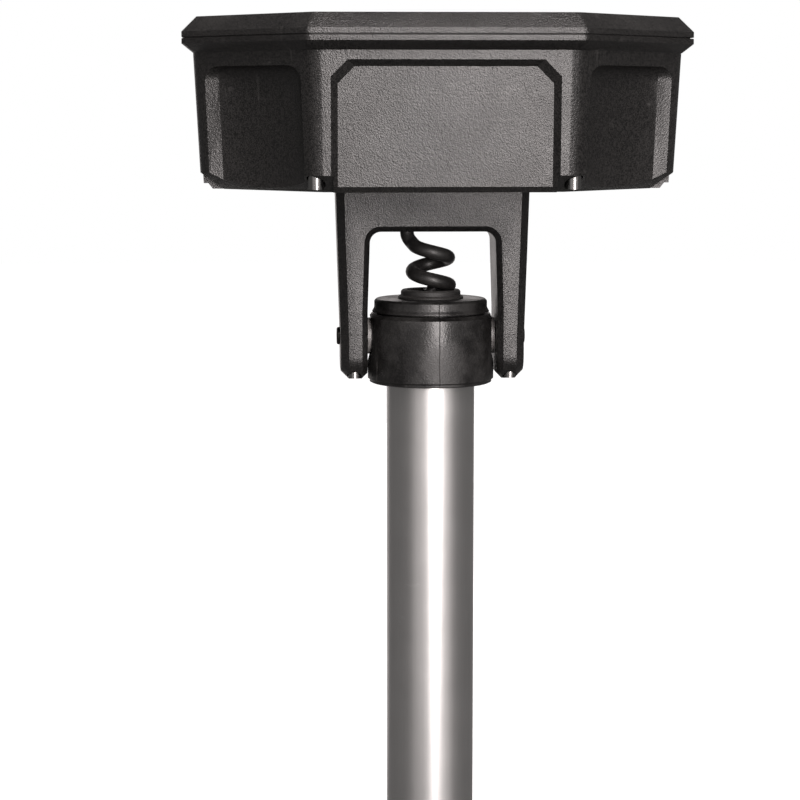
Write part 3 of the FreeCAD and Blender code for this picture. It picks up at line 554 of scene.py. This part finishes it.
HEAD_BLACK = moulded_plastic("head_black", BLACK_PIT, BLACK_FACE,
                             roughness=0.36, pits=2000.0, depth=0.00015, scuffs=0.22, dust=0.06,
                             shine=0.57)
LID_BLACK = moulded_plastic("lid_black", BLACK_PIT, BLACK_FACE,
                            roughness=0.36, pits=2000.0, depth=0.00027, scuffs=0.22, dust=0.06,
                            shine=0.60)
YOKE_BLACK = moulded_plastic("yoke_black", BLACK_PIT, BLACK_FACE,
                             roughness=0.36, pits=2000.0, depth=0.00015, scuffs=0.22, dust=0.06,
                             shine=0.57, seam=LEG_SEAM)
COLLAR_BLACK = moulded_plastic("collar_black", (0.0015, 0.0014, 0.0014), (0.0060, 0.0056, 0.0055),
                               roughness=0.41, pits=1500.0, depth=0.00008, scuffs=0.9, dust=0.06,
                               shine=0.60, mottle=0.12, cloud=0.12, seam=COLLAR_SEAM)
RUBBER = moulded_plastic("rubber_black", (0.010, 0.0096, 0.0094), (0.019, 0.0184, 0.018),
                         roughness=0.58, pits=3000.0, depth=0.00003, scuffs=0.3, dust=0.30, cloud=0.15)
JACKET = moulded_plastic("jacket_black", (0.006, 0.0057, 0.0056), (0.014, 0.0134, 0.013),
                         roughness=0.42, pits=2200.0, depth=0.00003, scuffs=0.6, dust=0.10, mottle=0.08,
                         cloud=0.12)
PART_BLACK = moulded_plastic("component_black", (0.014, 0.014, 0.014), (0.024, 0.024, 0.024),
                             roughness=0.50, pits=2400.0, depth=0.00002, scuffs=0.2, dust=0.05)
BUSH_GREY = moulded_plastic("grey_bearing_plastic", (0.12, 0.116, 0.113), (0.17, 0.164, 0.16),
                            roughness=0.40, pits=1800.0, depth=0.00001, scuffs=0.2, dust=0.05,
                            worn=(0.36, 0.35, 0.34))
WHITE = moulded_plastic("white_moulding", (0.74, 0.74, 0.70), (0.82, 0.82, 0.79), roughness=0.42,
                        pits=1800.0, depth=0.00001, scuffs=0.2, dust=0.05, worn=(0.86, 0.86, 0.84))
CERAMIC = moulded_plastic("patch_ceramic", (0.66, 0.62, 0.55), (0.78, 0.75, 0.69), roughness=0.55,
                          pits=2800.0, depth=0.00002, scuffs=0.1, dust=0.05, worn=(0.82, 0.8, 0.76))
ANODISED = drawn_metal("anodised_aluminium", (0.54, 0.535, 0.53), (0.66, 0.655, 0.65), roughness=0.37,
                       lines=1500.0, depth=0.000006)
BLACK_OXIDE = drawn_metal("black_oxide", (0.05, 0.048, 0.046), (0.085, 0.082, 0.08), roughness=0.34,
                          lines=1900.0, depth=0.000008)
STEEL = drawn_metal("turned_steel", (0.24, 0.238, 0.235), (0.31, 0.308, 0.304), roughness=0.24,
                    lines=1900.0, depth=0.000006)
BRASS = drawn_metal("turned_brass", (0.60, 0.43, 0.17), (0.74, 0.56, 0.26), roughness=0.28,
                    lines=1900.0, depth=0.000006)
SHEET = drawn_metal("sheet_aluminium", (0.66, 0.67, 0.68), (0.76, 0.77, 0.78), roughness=0.36,
                    lines=1300.0, depth=0.000006)
TIN = drawn_metal("tinned_steel", (0.60, 0.60, 0.58), (0.72, 0.72, 0.70), roughness=0.30, lines=1100.0,
                  depth=0.000006)
BOARD = printed_board("solder_mask", (0.02, 0.12, 0.05), (0.04, 0.20, 0.09))

FINISH_OF = {
    HEAD_BLACK: ("housing",),
    LID_BLACK: ("top_cover",),
    YOKE_BLACK: ("yoke",),
    COLLAR_BLACK: ("pole_collar", "collar_cap", "port_saddle"),
    RUBBER: ("cable_grommet", "lid_gasket"),
    JACKET: ("pole_cable", "inner_lead"),
    BLACK_OXIDE: ("pivot_screws", "collar_screws", "port_screws"),
    STEEL: ("end_insert_screws", "chassis_screws", "board_screws", "antenna_screws", "case_screws",
            "leg_screws", "yoke_screws", "data_port"),
    BRASS: ("pivot_inserts", "lid_inserts", "data_port_pins", "feed_pins", "board_spacers",
            "coax_jumper"),
    BUSH_GREY: ("pivot_bushes", "friction_washers"),
    WHITE: ("lead_plug", "board_socket"),
    CERAMIC: ("lower_patch", "upper_patch"),
    ANODISED: ("pole_tube",),
    SHEET: ("chassis_plate", "ground_plane", "antenna_posts", "pole_end_insert"),
    TIN: ("receiver_module", "amplifier_shield"),
    BOARD: ("main_board", "amplifier_board"),
    PART_BLACK: ("vent_plug", "cable_gland", "gland_nut", "power_module"),
}


def paint_frame():
    """Gives every CAD node the material of its piece."""
    for finish, names in FINISH_OF.items():
        for name in names:
            for slot in nodes[name].material_slots:
                slot.material = finish


# ---------------------------------------------------------------- moulded and turned edges
WELD = 0.000002
FLAT_ENOUGH = math.radians(0.5)
SMOOTH_BELOW = math.radians(28.0)
YOKE_EDGE = 25.0
HEAD_EDGE = 15.0
TURNED_EDGE = 18.0


def sharp_edges(mesh, angle, keep):
    """Edges where two faces meet at more than an angle and whose middle the test keeps."""
    found = []
    for edge in mesh.edges:
        if len(edge.link_faces) == 2 and edge.calc_face_angle(0.0) > angle:
            if keep((edge.verts[0].co + edge.verts[1].co) / 2):
                found.append(edge)
    return found


def round_edges(node, angle, rounds):
    """A copy of a CAD node with its edges rounded, which stands in its place.

    rounds is a list of (width, segments, test), and the test picks edges by their middle point.
    Only edges sharper than the angle, in degrees, are rounded.
    """
    piece = copy_of(node, node + "_rounded")
    bpy.ops.mesh.customdata_custom_splitnormals_clear()
    bpy.ops.object.mode_set(mode="EDIT")
    bpy.ops.mesh.select_all(action="SELECT")
    bpy.ops.mesh.remove_doubles(threshold=WELD)
    bpy.ops.mesh.dissolve_limited(angle_limit=FLAT_ENOUGH)
    for width, segments, keep in rounds:
        bpy.ops.mesh.select_all(action="DESELECT")
        bpy.ops.mesh.select_mode(type="EDGE")
        shape = bmesh.from_edit_mesh(piece.data)
        for edge in sharp_edges(shape, math.radians(angle), keep):
            edge.select = True
        bmesh.update_edit_mesh(piece.data)
        bpy.ops.mesh.bevel(offset=width, segments=segments, profile=0.5, clamp_overlap=True,
                           harden_normals=False)
    bpy.ops.object.mode_set(mode="OBJECT")
    bpy.ops.object.shade_smooth_by_angle(angle=SMOOTH_BELOW)
    stand_in(piece, node)


def beyond_flats(point, inset):
    """True outside the head's octagon moved inwards by an inset."""
    across = max(abs(point.x), abs(point.y), (abs(point.x) + abs(point.y)) / math.sqrt(2))
    return across > HEAD_HALF - inset


def from_axis(point):
    """The distance of a point from the pole's axis."""
    return math.hypot(point.x, point.y)


def round_lid():
    """Rounds the lid's rim, the top of its chamfer and its side of the joint."""
    def rim(p):
        return beyond_flats(p, RIM_BAND) and p.z > RIM_HIGH - 0.0003

    def top(p):
        return beyond_flats(p, LID_TOP_INSET) and p.z > RIM_HIGH + LID_TOP_RISE

    def joint(p):
        return beyond_flats(p, RIM_BAND) and p.z < RIM_HIGH - 0.001

    round_edges("top_cover", HEAD_EDGE,
                [(RIM_ROUND, 5, rim), (LID_TOP_ROUND, 3, top), (JOINT_ROUND, 1, joint)])


def round_housing():
    """Rounds the lower edge of the housing's rim and its side of the joint."""
    def under_rim(p):
        return beyond_flats(p, UNDER_RIM_BAND) and p.z < JOINT_Z - 0.001

    def joint(p):
        return beyond_flats(p, RIM_BAND) and p.z > JOINT_Z - 0.0006

    round_edges("housing", HEAD_EDGE,
                [(UNDER_RIM_ROUND, 3, under_rim), (JOINT_ROUND, 1, joint)])


def round_yoke():
    """Rounds the edges of the yoke's front and back faces and of its leg tips."""
    def outline(p):
        return (abs(p.y) > YOKE_FACE and p.z < HEAD_LOW - 0.001) or p.z < LEG_LOW + YOKE_TIP

    round_edges("yoke", YOKE_EDGE, [(YOKE_ROUND, 3, outline)])


def round_collar():
    """Rounds the turned edges of the collar, its cap and the grommet."""
    def ends(p):
        at_end = p.z > COLLAR_TOP - COLLAR_RIM or p.z < COLLAR_LOW + COLLAR_FOOT
        return from_axis(p) > COLLAR_SIDE and at_end

    def cap(p):
        return from_axis(p) > CAP_SIDE

    def grommet(p):
        return from_axis(p) > GROMMET_SIDE and p.z > CAP_TOP

    round_edges("pole_collar", TURNED_EDGE, [(COLLAR_ROUND, 4, ends)])
    round_edges("collar_cap", TURNED_EDGE, [(CAP_ROUND, 3, cap)])
    round_edges("cable_grommet", TURNED_EDGE, [(GROMMET_ROUND, 3, grommet)])


def lengthen_leg_screws():
    """Copies of the leg screws with heads long enough to show in the mouths of their pockets."""
    piece = copy_of("leg_screws", "leg_screws_long")
    foot = min(corner.co.z for corner in piece.data.vertices) + LEG_SCREW_FOOT
    for corner in piece.data.vertices:
        if corner.co.z < foot:
            corner.co.z -= LEG_SCREW_ADDED
    stand_in(piece, "leg_screws")


# ---------------------------------------------------------------- light and floor
def add_lights():
    """Soft boxes aimed at the collar and head."""
    for name, place, width, height, watts in LIGHTS:
        data = bpy.data.lights.new(name, "AREA")
        data.shape = "RECTANGLE"
        data.size = width
        data.size_y = height
        data.energy = watts
        data.color = WARM
        lamp = bpy.data.objects.new(name, data)
        bpy.context.scene.collection.objects.link(lamp)
        lamp.location = place
        lamp.rotation_mode = "QUATERNION"
        lamp.rotation_quaternion = (Vector(LIGHT_TARGET) - Vector(place)).to_track_quat("-Z", "Y")


def add_surroundings():
    """A white backdrop for the eye, and a dim even light for the surfaces."""
    world = bpy.data.worlds.new("studio")
    bpy.context.scene.world = world
    world.use_nodes = True
    tree = world.node_tree
    tree.nodes.clear()
    path = tree.nodes.new("ShaderNodeLightPath")
    seen = tree.nodes.new("ShaderNodeBackground")
    seen.inputs["Color"].default_value = SEEN_WHITE
    felt = tree.nodes.new("ShaderNodeBackground")
    felt.inputs["Color"].default_value = FELT_GREY
    mix = tree.nodes.new("ShaderNodeMixShader")
    out = tree.nodes.new("ShaderNodeOutputWorld")
    tree.links.new(path.outputs["Is Camera Ray"], mix.inputs["Fac"])
    tree.links.new(felt.outputs["Background"], mix.inputs[1])
    tree.links.new(seen.outputs["Background"], mix.inputs[2])
    tree.links.new(mix.outputs["Shader"], out.inputs["Surface"])
    bpy.context.scene.view_settings.view_transform = "Standard"


def add_floor():
    """A pale floor just under the pole's end, which throws no light of its own on the object."""
    deselect_all()
    bpy.ops.mesh.primitive_plane_add(size=FLOOR_SIZE, location=(0.0, 0.0, 0.0))
    floor = bpy.context.active_object
    floor.name = "floor"
    for corner in floor.data.vertices:
        corner.co.z -= FLOOR_DROP
    made, tree, shader = start_material("floor_white", 0.9)
    shader.inputs["Base Color"].default_value = FLOOR_GREY
    shader.inputs["Emission Color"].default_value = SEEN_WHITE
    shader.inputs["Emission Strength"].default_value = FLOOR_GLOW
    floor.data.materials.append(made)
    floor.visible_diffuse = False
    floor.visible_glossy = False
    floor.visible_shadow = False


# ---------------------------------------------------------------- assembly
add_camera()
add_lead(JACKET)
paint_frame()
round_lid()
round_housing()
round_yoke()
round_collar()
lengthen_leg_screws()
add_lights()
add_surroundings()
add_floor()
